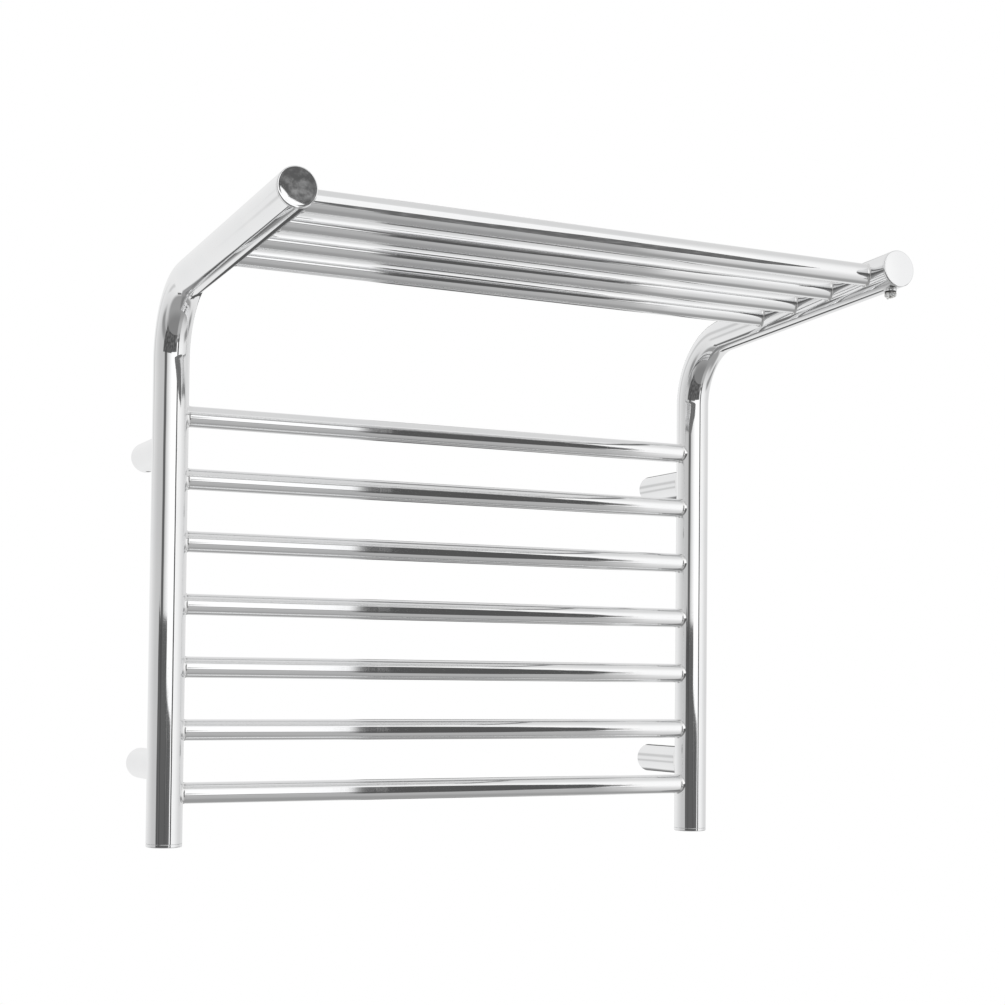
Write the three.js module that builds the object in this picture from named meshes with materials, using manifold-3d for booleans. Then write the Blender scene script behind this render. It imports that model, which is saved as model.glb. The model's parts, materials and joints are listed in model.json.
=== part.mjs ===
// Wall-hung towel warmer rack: two bent tubes, seven rungs and a four-bar shelf.
//
// Millimetres, +Z up, +X to the right as seen from the room, -Y into the room.
// The origin lies on the wall, midway between the four wall fixings.
// Pieces that touch on the real rack keep CLEARANCE between them here.

import * as THREE from 'three';
import { mergeVertices } from 'three/addons/utils/BufferGeometryUtils.js';
import Module from 'manifold-3d';

const manifoldLibrary = await Module();
manifoldLibrary.setup();

// ---------------------------------------------------------------- driving dimensions

const CLEARANCE = 0.3;

// Frame tubes: an upright, a bend and an arm in one length of pipe.
const TUBE_RADIUS = 16;
const TUBE_WALL = 2;
const TUBE_SPACING = 548;
const WALL_DISTANCE = 84;
const BEND_RADIUS = 64;
const ARM_HEIGHT = 496;
const ARM_LENGTH = 335;
const ARM_RISE = THREE.MathUtils.degToRad(2.4);

// Rungs between the uprights, heights above the bottom of the rack.
const RUNG_COUNT = 7;
const RUNG_RADIUS = 9.5;
const RUNG_WALL = 1.5;
const RUNG_PITCH = 56.3;
const LOWEST_RUNG_HEIGHT = 47.5;
const PORT_RADIUS = 7.5;

// Shelf bars between the arms, distances along the arm from the upright's axis.
const SHELF_BAR_COUNT = 4;
const FRONT_BAR_REACH = 305;
const SHELF_BAR_PITCH = 54.4;

// Threaded bushes that take the water pipes at the bottom of the uprights.
const BUSH_FLANGE = 3;
const BUSH_LENGTH = 14;
const BUSH_BORE_RADIUS = 9.3;
const BUSH_EDGE = 1;

// Discs that close the front ends of the arms.
const CAP_FLANGE = 2.5;
const CAP_LENGTH = 6;
const CAP_EDGE = 0.8;

// Wall brackets: a sleeve on the upright slides over a socket that is screwed to the wall.
const LOWER_BRACKET_HEIGHT = 71;
const UPPER_BRACKET_HEIGHT = 356;
const SLEEVE_RADIUS = 14;
const SLEEVE_WALL = 1.5;
const SLEEVE_WALL_GAP = 0.6;
const SOCKET_RADIUS = SLEEVE_RADIUS - SLEEVE_WALL - CLEARANCE;
const SOCKET_LENGTH = 20;
const SOCKET_BORE_RADIUS = 2.75;
const COUNTERSINK_RADIUS = 5.6;
const COUNTERSINK_DEPTH = 3;
const GROOVE_RADIUS = 9;
const GROOVE_CENTRE = 11;
const GROOVE_HALF_WIDTH = 3.5;
const GRUB_RADIUS = 2.5;
const GRUB_TIP_RADIUS = 1.6;
const GRUB_RECESS = 0.2;
const GRUB_LENGTH = SLEEVE_RADIUS - GRUB_RECESS - GROOVE_RADIUS - CLEARANCE;
const GRUB_KEY_RADIUS = 1.44;
const GRUB_KEY_DEPTH = 1.8;

// Air bleed valve under the front of the right arm. Depths run down from the tube's surface.
const BLEED_REACH = 322;
const BOSS_RADIUS = 5.8;
const BOSS_BORE_RADIUS = 3.6;
const BOSS_DEPTH = 1.6;
const SEAL_DEPTH = 2.5;
const VALVE_SHANK_RADIUS = 3.3;
const VALVE_SHANK_RISE = 5;
const VALVE_FLANGE_RADIUS = 5.2;
const VALVE_FLANGE_DEPTH = 3.4;
const VALVE_NECK_RADIUS = 3.2;
const VALVE_NECK_DEPTH = 5.9;
const VALVE_LIP_RADIUS = 3.7;
const VALVE_LIP_DEPTH = 6.4;
const VALVE_BORE_RADIUS = 1.9;
const VALVE_VENT_RADIUS = 0.6;
const SPOUT_RADIUS = 5;
const SPOUT_RUNNING_GAP = 0.12;
const SPOUT_END_PLAY = 0.2;
const NOZZLE_RADIUS = 1.2;
const NOZZLE_BORE_RADIUS = 0.6;
const NOZZLE_OFFSET = 5.2;
const NOZZLE_DEPTH = 9;
const NOZZLE_DIRECTION = THREE.MathUtils.degToRad(206);
const KEY_SCREW_RADIUS = 1.75;
const KEY_SCREW_DEPTH = 7.1;
const KEY_SCREW_RISE = 3.5;
const KEY_SLOT_WIDTH = 0.6;
const KEY_SLOT_DEPTH = 0.9;

// Facets around each kind of round surface.
const TUBE_SIDES = 24;
const RUNG_SIDES = 16;
const SMALL_SIDES = 16;
const BEND_STEPS = 12;

// The rack's bottom, below an origin midway between the wall fixings, and the uprights' axes.
const BOTTOM_Z = -(LOWER_BRACKET_HEIGHT + UPPER_BRACKET_HEIGHT) / 2;
const UPRIGHT_AXIS_X = TUBE_SPACING / 2;

// ---------------------------------------------------------------- materials

const FINISHES = {
  polishedSteel: { color: 0xdfe1e3, roughness: 0.06, metalness: 1 },
  satinSteel: { color: 0xc9cbcd, roughness: 0.3, metalness: 1 },
  platedBrass: { color: 0xb9babb, roughness: 0.16, metalness: 1 },
  darkSteel: { color: 0x4c4e50, roughness: 0.42, metalness: 1 },
  whitePlastic: { color: 0xd7d8d6, roughness: 0.45, metalness: 0 },
  sealRubber: { color: 0x17181a, roughness: 0.8, metalness: 0 },
};

// ---------------------------------------------------------------- solids

/** Turns a closed geometry into a manifold solid. */
function solidOf(geometry) {
  const bare = geometry.clone();
  bare.deleteAttribute('normal');
  bare.deleteAttribute('uv');
  const merged = mergeVertices(bare);
  const corners = merged.index.array;
  const triangles = [];
  for (let i = 0; i < corners.length; i += 3) {
    const [a, b, c] = corners.slice(i, i + 3);
    if (a !== b && b !== c && c !== a) {
      triangles.push(a, b, c);
    }
  }
  return new manifoldLibrary.Manifold(new manifoldLibrary.Mesh({
    numProp: 3,
    vertProperties: new Float32Array(merged.attributes.position.array),
    triVerts: new Uint32Array(triangles),
  }));
}

/** Turns a manifold solid back into a geometry. */
function geometryOf(solid) {
  const mesh = solid.getMesh();
  const geometry = new THREE.BufferGeometry();
  geometry.setAttribute('position', new THREE.BufferAttribute(mesh.vertProperties, 3));
  geometry.setIndex(new THREE.BufferAttribute(mesh.triVerts, 1));
  geometry.computeVertexNormals();
  return geometry;
}

/** Cuts every cutter out of a body. All of them are geometries. */
function cut(body, cutters) {
  const solid = cutters.reduce((rest, cutter) => rest.subtract(solidOf(cutter)), solidOf(body));
  return geometryOf(solid);
}

/** Turns a profile of [radius, height] corners about +Y. Its outer side runs upwards. */
function turned(profile, sides) {
  const points = profile.map(([radius, height]) => new THREE.Vector2(radius, height));
  return new THREE.LatheGeometry(points, sides);
}

/** A turned ring or tube: the profile closes on itself, so it leaves the axis open. */
function turnedRing(profile, sides) {
  return turned([...profile, profile[0]], sides);
}

/** A straight tube along +Y, centred on the origin. */
function straightTube(outer, inner, length, sides) {
  const half = length / 2;
  return turnedRing([[outer, -half], [outer, half], [inner, half], [inner, -half]], sides);
}

/** A solid rod along +Z from the origin. */
function rodAlongZ(radius, length, sides) {
  const rod = new THREE.CylinderGeometry(radius, radius, length, sides);
  return rod.rotateX(Math.PI / 2).translate(0, 0, length / 2);
}

/** The space that a frame tube needs, as a rod along Z, for cutting the pieces that meet it. */
function tubeClearance(x) {
  const radius = TUBE_RADIUS + CLEARANCE;
  const length = 4 * TUBE_RADIUS;
  return rodAlongZ(radius, length, TUBE_SIDES).translate(x, 0, -length / 2);
}

// ---------------------------------------------------------------- frame tubes

/**
 * Centre line of a frame tube in its YZ plane: up the upright from the bottom bush, round
 * the bend, and along the rising arm to the cap. All steps but two lie in the bend.
 */
class FrameTubePath extends THREE.Curve {
  constructor(bottom, corner, reach, radius, rise, bendSteps) {
    super();
    this.steps = bendSteps + 2;
    this.turn = Math.PI / 2 - rise;
    this.radius = radius;
    const setback = radius * Math.tan(this.turn / 2);
    this.start = new THREE.Vector3(0, 0, bottom);
    this.bendStart = new THREE.Vector3(0, 0, corner - setback);
    this.armDirection = new THREE.Vector3(0, -Math.cos(rise), Math.sin(rise));
    this.end = this.armDirection.clone().multiplyScalar(reach).add(new THREE.Vector3(0, 0, corner));
  }

  bendAngle(t) {
    const share = (t * this.steps - 1) / (this.steps - 2);
    return this.turn * THREE.MathUtils.clamp(share, 0, 1);
  }

  bendPoint(angle) {
    const { radius, bendStart } = this;
    return new THREE.Vector3(0, radius * (Math.cos(angle) - 1), bendStart.z + radius * Math.sin(angle));
  }

  getPoint(t) {
    const step = t * this.steps;
    if (step < 1) {
      return this.start.clone().lerp(this.bendStart, step);
    }
    if (step > this.steps - 1) {
      return this.bendPoint(this.turn).lerp(this.end, step - this.steps + 1);
    }
    return this.bendPoint(this.bendAngle(t));
  }

  getTangent(t) {
    const angle = this.bendAngle(t);
    return new THREE.Vector3(0, -Math.sin(angle), Math.cos(angle));
  }

  getPointAt(u) {
    return this.getPoint(u);
  }

  getTangentAt(u) {
    return this.getTangent(u);
  }
}

/** Bent tube with its rung and shelf-bar ports drilled. Side is -1 on the left, 1 on the right. */
function frameTubeGeometry(side) {
  const ring = new THREE.Shape().absarc(0, 0, TUBE_RADIUS, 0, 2 * Math.PI);
  ring.holes.push(new THREE.Path().absarc(0, 0, TUBE_RADIUS - TUBE_WALL, 0, 2 * Math.PI));
  const bottom = BUSH_FLANGE + CLEARANCE;
  const reach = ARM_LENGTH - CAP_FLANGE - CLEARANCE;
  const path = new FrameTubePath(bottom, ARM_HEIGHT, reach, BEND_RADIUS, ARM_RISE, BEND_STEPS);
  const tube = new THREE.ExtrudeGeometry(ring, {
    steps: path.steps,
    curveSegments: TUBE_SIDES / 2,
    extrudePath: path,
    bevelEnabled: false,
  });

  const sidePort = () => rodAlongZ(PORT_RADIUS, 2 * TUBE_RADIUS, SMALL_SIDES).rotateY(-side * Math.PI / 2);
  const onArm = (geometry) => geometry.rotateX(-ARM_RISE).translate(0, 0, ARM_HEIGHT);
  const rungPorts = rungHeights().map((height) => sidePort().translate(0, 0, height));
  const barPorts = barReaches().map((along) => onArm(sidePort().translate(0, -along, 0)));
  const ports = [...rungPorts, ...barPorts];
  if (side > 0) {
    const bleedPort = rodAlongZ(BOSS_BORE_RADIUS, 2 * TUBE_RADIUS, SMALL_SIDES);
    ports.push(onArm(bleedPort.translate(0, -BLEED_REACH, -2 * TUBE_RADIUS)));
  }
  return cut(tube, ports);
}

function rungHeights() {
  const fromTop = (index) => LOWEST_RUNG_HEIGHT + (RUNG_COUNT - 1 - index) * RUNG_PITCH;
  return Array.from({ length: RUNG_COUNT }, (_, index) => fromTop(index));
}

function barReaches() {
  return Array.from({ length: SHELF_BAR_COUNT }, (_, index) => FRONT_BAR_REACH - index * SHELF_BAR_PITCH);
}

/** Tube along X between the two frame tubes, its ends saddle-cut to them. */
function crossTubeGeometry() {
  const tube = straightTube(RUNG_RADIUS, RUNG_RADIUS - RUNG_WALL, TUBE_SPACING, RUNG_SIDES);
  return cut(tube.rotateZ(Math.PI / 2), [tubeClearance(-UPRIGHT_AXIS_X), tubeClearance(UPRIGHT_AXIS_X)]);
}

/** The same tube for the shelf, where the arms run along Y instead of Z. */
function shelfBarGeometry() {
  return crossTubeGeometry().rotateX(Math.PI / 2);
}

/** Pipe bush: a flange under the upright and a spigot inside it. Runs up +Z from its face. */
function portBushGeometry() {
  const spigot = TUBE_RADIUS - TUBE_WALL - CLEARANCE;
  const profile = [
    [TUBE_RADIUS - BUSH_EDGE, 0],
    [TUBE_RADIUS, BUSH_EDGE],
    [TUBE_RADIUS, BUSH_FLANGE],
    [spigot, BUSH_FLANGE],
    [spigot, BUSH_LENGTH],
    [BUSH_BORE_RADIUS, BUSH_LENGTH],
    [BUSH_BORE_RADIUS, 0],
  ];
  return geometryOf(solidOf(turnedRing(profile, TUBE_SIDES).rotateX(Math.PI / 2)));
}

/** Arm cap: a disc with a spigot that runs back along +Y from its face. */
function armCapGeometry() {
  const spigot = TUBE_RADIUS - TUBE_WALL - CLEARANCE;
  const profile = [
    [0, 0],
    [TUBE_RADIUS - CAP_EDGE, 0],
    [TUBE_RADIUS, CAP_EDGE],
    [TUBE_RADIUS, CAP_FLANGE],
    [spigot, CAP_FLANGE],
    [spigot, CAP_LENGTH],
    [0, CAP_LENGTH],
  ];
  return geometryOf(solidOf(turned(profile, TUBE_SIDES)));
}

// ---------------------------------------------------------------- wall brackets

/** Sleeve along +Y from the upright's axis to just short of the wall. */
function sleeveGeometry() {
  const length = WALL_DISTANCE - SLEEVE_WALL_GAP;
  const tube = straightTube(SLEEVE_RADIUS, SLEEVE_RADIUS - SLEEVE_WALL, length, TUBE_SIDES);
  const screwHole = rodAlongZ(GRUB_RADIUS + CLEARANCE, SLEEVE_RADIUS + SLEEVE_WALL, SMALL_SIDES);
  screwHole.translate(0, WALL_DISTANCE - GROOVE_CENTRE, -SLEEVE_RADIUS - SLEEVE_WALL);
  return cut(tube.translate(0, length / 2, 0), [tubeClearance(0), screwHole]);
}

/** Socket along -Y from the wall, with a groove for the grub screw and a countersunk bore. */
function socketGeometry() {
  const groove = [
    [GROOVE_RADIUS, -GROOVE_CENTRE + GROOVE_HALF_WIDTH],
    [GROOVE_RADIUS, -GROOVE_CENTRE - GROOVE_HALF_WIDTH],
  ];
  const profile = [
    [SOCKET_RADIUS, -SOCKET_LENGTH],
    [SOCKET_RADIUS, groove[1][1]],
    groove[1],
    groove[0],
    [SOCKET_RADIUS, groove[0][1]],
    [SOCKET_RADIUS, 0],
    [SOCKET_BORE_RADIUS, 0],
    [SOCKET_BORE_RADIUS, -SOCKET_LENGTH + COUNTERSINK_DEPTH],
    [COUNTERSINK_RADIUS, -SOCKET_LENGTH],
  ];
  return geometryOf(solidOf(turnedRing(profile, SMALL_SIDES)));
}

/** Grub screw along -Z from its tip at the origin, with a hexagon socket in its outer end. */
function grubScrewGeometry() {
  const tip = GRUB_RADIUS - GRUB_TIP_RADIUS;
  const profile = [
    [0, -GRUB_LENGTH],
    [GRUB_RADIUS, -GRUB_LENGTH],
    [GRUB_RADIUS, -tip],
    [GRUB_TIP_RADIUS, 0],
    [0, 0],
  ];
  const key = rodAlongZ(GRUB_KEY_RADIUS, 2 * GRUB_KEY_DEPTH, 6);
  key.translate(0, 0, -GRUB_LENGTH - GRUB_KEY_DEPTH);
  return cut(turned(profile, SMALL_SIDES).rotateX(Math.PI / 2), [key]);
}

// ---------------------------------------------------------------- bleed valve

/** Turned ring about Z whose profile gives [radius, depth below the arm tube's surface]. */
function bleedRing(profile) {
  const hanging = profile.map(([radius, depth]) => [radius, -depth - TUBE_RADIUS]);
  return turnedRing(hanging, SMALL_SIDES).rotateX(Math.PI / 2);
}

/** Rod about Z between two depths below the arm tube's surface. */
function bleedRod(radius, fromDepth, toDepth, sides) {
  return rodAlongZ(radius, toDepth - fromDepth, sides).translate(0, 0, -toDepth - TUBE_RADIUS);
}

/** Boss welded under the arm. Its origin is on the arm's axis. */
function bleedBossGeometry() {
  const profile = [
    [BOSS_RADIUS, BOSS_DEPTH],
    [BOSS_RADIUS, -BOSS_RADIUS],
    [BOSS_BORE_RADIUS, -BOSS_RADIUS],
    [BOSS_BORE_RADIUS, BOSS_DEPTH],
  ];
  const armTube = tubeClearance(0).rotateX(Math.PI / 2);
  return cut(bleedRing(profile), [armTube]);
}

/** Flat seal between the boss and the valve's flange. */
function bleedSealGeometry() {
  const profile = [
    [VALVE_FLANGE_RADIUS - CLEARANCE, SEAL_DEPTH],
    [VALVE_FLANGE_RADIUS - CLEARANCE, BOSS_DEPTH + CLEARANCE],
    [VALVE_SHANK_RADIUS + CLEARANCE, BOSS_DEPTH + CLEARANCE],
    [VALVE_SHANK_RADIUS + CLEARANCE, SEAL_DEPTH],
  ];
  return geometryOf(solidOf(bleedRing(profile)));
}

/** Valve body: shank in the boss, flange, neck for the spout ring and the lip that holds it. */
function valveBodyGeometry() {
  const flangeTop = SEAL_DEPTH + CLEARANCE;
  const profile = [
    [VALVE_LIP_RADIUS, VALVE_LIP_DEPTH],
    [VALVE_LIP_RADIUS, VALVE_NECK_DEPTH],
    [VALVE_NECK_RADIUS, VALVE_NECK_DEPTH],
    [VALVE_NECK_RADIUS, VALVE_FLANGE_DEPTH],
    [VALVE_FLANGE_RADIUS, VALVE_FLANGE_DEPTH],
    [VALVE_FLANGE_RADIUS, flangeTop],
    [VALVE_SHANK_RADIUS, flangeTop],
    [VALVE_SHANK_RADIUS, -VALVE_SHANK_RISE],
    [VALVE_BORE_RADIUS, -VALVE_SHANK_RISE],
    [VALVE_BORE_RADIUS, VALVE_LIP_DEPTH],
  ];
  const vent = rodAlongZ(VALVE_VENT_RADIUS, VALVE_FLANGE_RADIUS, SMALL_SIDES / 2);
  const ventDepth = (VALVE_FLANGE_DEPTH + VALVE_NECK_DEPTH) / 2;
  vent.rotateY(Math.PI / 2).translate(0, 0, -TUBE_RADIUS - ventDepth);
  return cut(bleedRing(profile), [vent]);
}

/** Spout ring: it turns freely on the valve's neck and carries the drain nozzle. */
function bleedSpoutGeometry() {
  const top = VALVE_FLANGE_DEPTH + SPOUT_END_PLAY;
  const bottom = VALVE_NECK_DEPTH - SPOUT_END_PLAY;
  const bore = VALVE_NECK_RADIUS + SPOUT_RUNNING_GAP;
  const ring = bleedRing([[SPOUT_RADIUS, bottom], [SPOUT_RADIUS, top], [bore, top], [bore, bottom]]);
  const atNozzle = (rod) => rod.translate(NOZZLE_OFFSET, 0, 0).rotateZ(NOZZLE_DIRECTION);
  const nozzle = atNozzle(bleedRod(NOZZLE_RADIUS, top, NOZZLE_DEPTH, SMALL_SIDES));
  const drain = atNozzle(bleedRod(NOZZLE_BORE_RADIUS, bottom, NOZZLE_DEPTH + CLEARANCE, SMALL_SIDES / 2));
  const lipClearance = bleedRod(VALVE_LIP_RADIUS + CLEARANCE, bottom, NOZZLE_DEPTH + CLEARANCE, SMALL_SIDES);
  const cutter = solidOf(drain).add(solidOf(lipClearance));
  return geometryOf(solidOf(ring).add(solidOf(nozzle)).subtract(cutter));
}

/** Key screw in the valve's bore, slotted at its outer end. */
function keyScrewGeometry() {
  const screw = bleedRod(KEY_SCREW_RADIUS, -KEY_SCREW_RISE, KEY_SCREW_DEPTH, SMALL_SIDES);
  const slot = new THREE.BoxGeometry(4 * KEY_SCREW_RADIUS, KEY_SLOT_WIDTH, 2 * KEY_SLOT_DEPTH);
  slot.translate(0, 0, -TUBE_RADIUS - KEY_SCREW_DEPTH);
  return cut(screw, [slot]);
}

// ---------------------------------------------------------------- assembly

function piece(name, geometry, finish, x = 0, y = 0, z = 0) {
  const mesh = new THREE.Mesh(geometry, new THREE.MeshStandardMaterial(FINISHES[finish]));
  mesh.name = name;
  mesh.position.set(x, y, z);
  return mesh;
}

const rack = new THREE.Group();

// Everything above the uprights' bottoms, on their axes.
const frame = new THREE.Group();
frame.position.set(0, -WALL_DISTANCE, BOTTOM_Z);
rack.add(frame);

// The shelf's plane: the arms run along its -Y.
const shelf = new THREE.Group();
shelf.position.z = ARM_HEIGHT;
shelf.rotation.x = -ARM_RISE;
frame.add(shelf);

for (const [sideName, side] of [['left', -1], ['right', 1]]) {
  const x = side * UPRIGHT_AXIS_X;
  frame.add(piece(`${sideName}_frame_tube`, frameTubeGeometry(side), 'polishedSteel', x));
  frame.add(piece(`${sideName}_port_bush`, portBushGeometry(), 'polishedSteel', x));
  shelf.add(piece(`${sideName}_arm_cap`, armCapGeometry(), 'polishedSteel', x, -ARM_LENGTH));

  for (const [levelName, height] of [['upper', UPPER_BRACKET_HEIGHT], ['lower', LOWER_BRACKET_HEIGHT]]) {
    const bracket = new THREE.Group();
    bracket.position.set(x, 0, height);
    const label = `${levelName}_${sideName}`;
    const screwY = WALL_DISTANCE - GROOVE_CENTRE;
    const screwZ = -GROOVE_RADIUS - CLEARANCE;
    bracket.add(piece(`${label}_wall_sleeve`, sleeveGeometry(), 'polishedSteel'));
    bracket.add(piece(`${label}_wall_socket`, socketGeometry(), 'satinSteel', 0, WALL_DISTANCE));
    bracket.add(piece(`${label}_grub_screw`, grubScrewGeometry(), 'darkSteel', 0, screwY, screwZ));
    frame.add(bracket);
  }
}

rungHeights().forEach((height, index) => {
  frame.add(piece(`rung_${index + 1}`, crossTubeGeometry(), 'polishedSteel', 0, 0, height));
});

barReaches().forEach((along, index) => {
  shelf.add(piece(`shelf_bar_${index + 1}`, shelfBarGeometry(), 'polishedSteel', 0, -along));
});

const bleedValve = new THREE.Group();
bleedValve.position.set(UPRIGHT_AXIS_X, -BLEED_REACH, 0);
bleedValve.add(
  piece('bleed_boss', bleedBossGeometry(), 'polishedSteel'),
  piece('bleed_seal', bleedSealGeometry(), 'sealRubber'),
  piece('bleed_valve_body', valveBodyGeometry(), 'platedBrass'),
  piece('bleed_spout', bleedSpoutGeometry(), 'whitePlastic'),
  piece('bleed_key_screw', keyScrewGeometry(), 'platedBrass'),
);
shelf.add(bleedValve);

export default rack;
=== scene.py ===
"""Looks of the wall-hung towel warmer rack: fine meshes, finishes, studio and camera.

Metres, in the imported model's frame: +Z up, the wall at y = 0 and the room towards -Y.
"""

import json
import math

import bmesh
import bpy
from mathutils import Matrix, Vector


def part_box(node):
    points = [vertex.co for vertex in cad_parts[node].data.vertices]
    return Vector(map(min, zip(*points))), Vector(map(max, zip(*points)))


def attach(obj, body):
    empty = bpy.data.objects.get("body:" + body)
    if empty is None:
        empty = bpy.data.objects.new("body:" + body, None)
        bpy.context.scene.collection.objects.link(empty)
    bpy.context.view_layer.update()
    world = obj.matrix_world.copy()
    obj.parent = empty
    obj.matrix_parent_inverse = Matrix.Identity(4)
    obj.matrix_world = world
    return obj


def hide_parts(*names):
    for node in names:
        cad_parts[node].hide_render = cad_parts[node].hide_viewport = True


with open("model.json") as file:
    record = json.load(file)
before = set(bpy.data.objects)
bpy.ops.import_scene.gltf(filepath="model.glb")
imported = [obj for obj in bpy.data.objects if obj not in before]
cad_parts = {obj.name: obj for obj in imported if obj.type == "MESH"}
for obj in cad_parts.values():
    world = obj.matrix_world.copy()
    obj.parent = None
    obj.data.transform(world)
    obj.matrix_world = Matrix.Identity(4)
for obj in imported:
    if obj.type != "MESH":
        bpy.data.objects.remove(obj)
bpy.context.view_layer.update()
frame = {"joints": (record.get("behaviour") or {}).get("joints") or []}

MM = 0.001
AXIS_X = Vector((1, 0, 0))
AXIS_Y = Vector((0, 1, 0))
AXIS_Z = Vector((0, 0, 1))

# ---------------------------------------------------------------- sizes, as in the CAD model

TUBE_WALL = 2 * MM
BEND_RADIUS = 64 * MM
ARM_LENGTH = 335 * MM
RUNGS = [f"rung_{index + 1}" for index in range(7)]
SHELF_BARS = [f"shelf_bar_{index + 1}" for index in range(4)]
RUNG_RADIUS = 9.5 * MM
RUNG_WALL = 1.5 * MM
BUSH_FLANGE = 3 * MM
BUSH_LENGTH = 14 * MM
CAP_FLANGE = 2.5 * MM
CAP_LENGTH = 6 * MM
SLEEVE_RADIUS = 14 * MM
SLEEVE_WALL = 1.5 * MM
SLEEVE_WALL_GAP = 0.6 * MM
GROOVE_CENTRE = 11 * MM

# Details that only the looks have.
SEAM = 0.1 * MM
SPIGOT_GAP = 0.1 * MM
# Welds, dressed and polished: how far they reach out along the frame tube and along the branch.
RUNG_WELD = (0.8 * MM, 3.0 * MM)
BAR_WELD = (1.0 * MM, 1.8 * MM)
SLEEVE_WELD = (1.2 * MM, 1.8 * MM)
BOSS_WELD = (0.8 * MM, 0.8 * MM)
WELD_SINK = 0.25 * MM
CAP_DOME = 0.35 * MM
# Ports through a frame tube's wall into a rung or shelf bar, and into the bleed valve.
RUNG_PORT = 7.9 * MM
VALVE_PORT = 3.4 * MM

# Sides round each kind of round surface, and steps along the bend, the welds and the edges.
TUBE_SIDES = 96
RUNG_SIDES = 72
SMALL_SIDES = 48
BEND_STEPS = 60
WELD_STEPS = 14
EDGE_STEPS = 4
SHARP_ANGLE = math.radians(35)

# Places, from the frame.
bush_low, bush_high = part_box("right_port_bush")
TUBE_RADIUS = (bush_high.x - bush_low.x) / 2
UPRIGHT_X = (bush_high.x + bush_low.x) / 2
UPRIGHT_Y = (bush_high.y + bush_low.y) / 2
BOTTOM_Z = bush_low.z
valve_joint = frame["joints"][0]
VALVE_ORIGIN = Vector(valve_joint["pos_m"])
VALVE_DOWN = Vector(valve_joint["axis"])
ARM_DIRECTION = VALVE_DOWN.cross(AXIS_X)
ARM_REACH_AT_VALVE = (VALVE_ORIGIN.y - UPRIGHT_Y) / ARM_DIRECTION.y
CORNER_Z = VALVE_ORIGIN.z - ARM_REACH_AT_VALVE * ARM_DIRECTION.z
BEND_TURN = math.atan2(-ARM_DIRECTION.y, ARM_DIRECTION.z)
BEND_SETBACK = BEND_RADIUS * math.tan(BEND_TURN / 2)
UPRIGHT_LENGTH = CORNER_Z - BEND_SETBACK - BOTTOM_Z
BEND_LENGTH = BEND_RADIUS * BEND_TURN
TUBE_LENGTH = UPRIGHT_LENGTH + BEND_LENGTH + ARM_LENGTH - BEND_SETBACK


def node_centre(node):
    """The middle of a CAD node's box at rest."""
    low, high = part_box(node)
    return (low + high) / 2


# ---------------------------------------------------------------- node trees


class Value:
    """A node's output that Python arithmetic turns into Math nodes."""

    def __init__(self, tree, socket):
        self.tree = tree
        self.socket = socket

    def math(self, operation, *others):
        node = self.tree.nodes.new("ShaderNodeMath")
        node.operation = operation
        for socket, value in zip(node.inputs, (self, *others)):
            connect(self.tree, socket, value)
        return Value(self.tree, node.outputs[0])

    def __add__(self, other):
        return self.math("ADD", other)

    def __sub__(self, other):
        return self.math("SUBTRACT", other)

    def __mul__(self, other):
        return self.math("MULTIPLY", other)

    __radd__ = __add__
    __rmul__ = __mul__

    def __rsub__(self, other):
        return (self * -1) + other

    def rise(self, start, end):
        """0 before start and 1 after end, smoothly."""
        node = self.tree.nodes.new("ShaderNodeMapRange")
        node.interpolation_type = "SMOOTHSTEP"
        for name, value in (("Value", self), ("From Min", start), ("From Max", end)):
            connect(self.tree, node.inputs[name], value)
        return Value(self.tree, node.outputs["Result"])

    def fall(self, start, end):
        """1 before start and 0 after end, smoothly."""
        return 1 - self.rise(start, end)

    def between(self, low, high, soft):
        """1 from low to high and 0 outside, with soft edges."""
        half = soft / 2
        return self.rise(low - half, low + half) * self.fall(high - half, high + half)

    def towards(self, other, share):
        """This value where share is 0 and the other where it is 1."""
        return self + share * (other - self)


def connect(tree, socket, value):
    """Links a node's output to a socket, or sets a plain value on it."""
    if isinstance(value, Value):
        value = value.socket
    if isinstance(value, bpy.types.NodeSocket):
        tree.links.new(value, socket)
    else:
        socket.default_value = value


def add_node(tree, kind, settings=None, **inputs):
    """A new node. Input names have underscores for spaces."""
    node = tree.nodes.new("ShaderNode" + kind)
    for name, value in (settings or {}).items():
        setattr(node, name, value)
    for name, value in inputs.items():
        connect(tree, node.inputs[name.replace("_", " ")], value)
    return node


def stretched(tree, vector, scale):
    """The vector with each of its parts scaled."""
    node = add_node(tree, "VectorMath", {"operation": "MULTIPLY"})
    connect(tree, node.inputs[0], vector)
    connect(tree, node.inputs[1], scale)
    return node.outputs[0]


def noise(tree, vector, scale, detail=2.0, roughness=0.5):
    """Noise from about 0 to 1, with its scale in lumps a metre where the vector is FLOW."""
    node = add_node(tree, "TexNoise", Vector=vector, Scale=scale, Detail=detail, Roughness=roughness)
    return Value(tree, node.outputs[0])


def colour_between(tree, share, first, second):
    """A colour from first, where share is 0, to second, where it is 1.

    A colour is a node's output, or red, green and blue.
    """
    node = add_node(tree, "Mix", {"data_type": "RGBA"})
    for index, value in ((0, share), (6, first), (7, second)):
        connect(tree, node.inputs[index], (*value, 1) if isinstance(value, tuple) else value)
    return node.outputs[2]


def bumped(tree, height, distance, normal=None):
    """A normal for relief that is this many metres deep, on top of another normal if one is given."""
    node = add_node(tree, "Bump", Height=height, Distance=distance, Strength=1.0)
    if normal is not None:
        connect(tree, node.inputs["Normal"], normal)
    return node.outputs["Normal"]


# ---------------------------------------------------------------- finishes

# Every piece has two attributes. FLOW is where a point would be, in metres, if the piece's centre line
# were straight: its third part runs along the piece, so noise that is fine along it draws lines round
# the piece. WELD is 1 on a weld and 0 away from it.
FLOW = "flow"
WELD = "weld"


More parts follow.
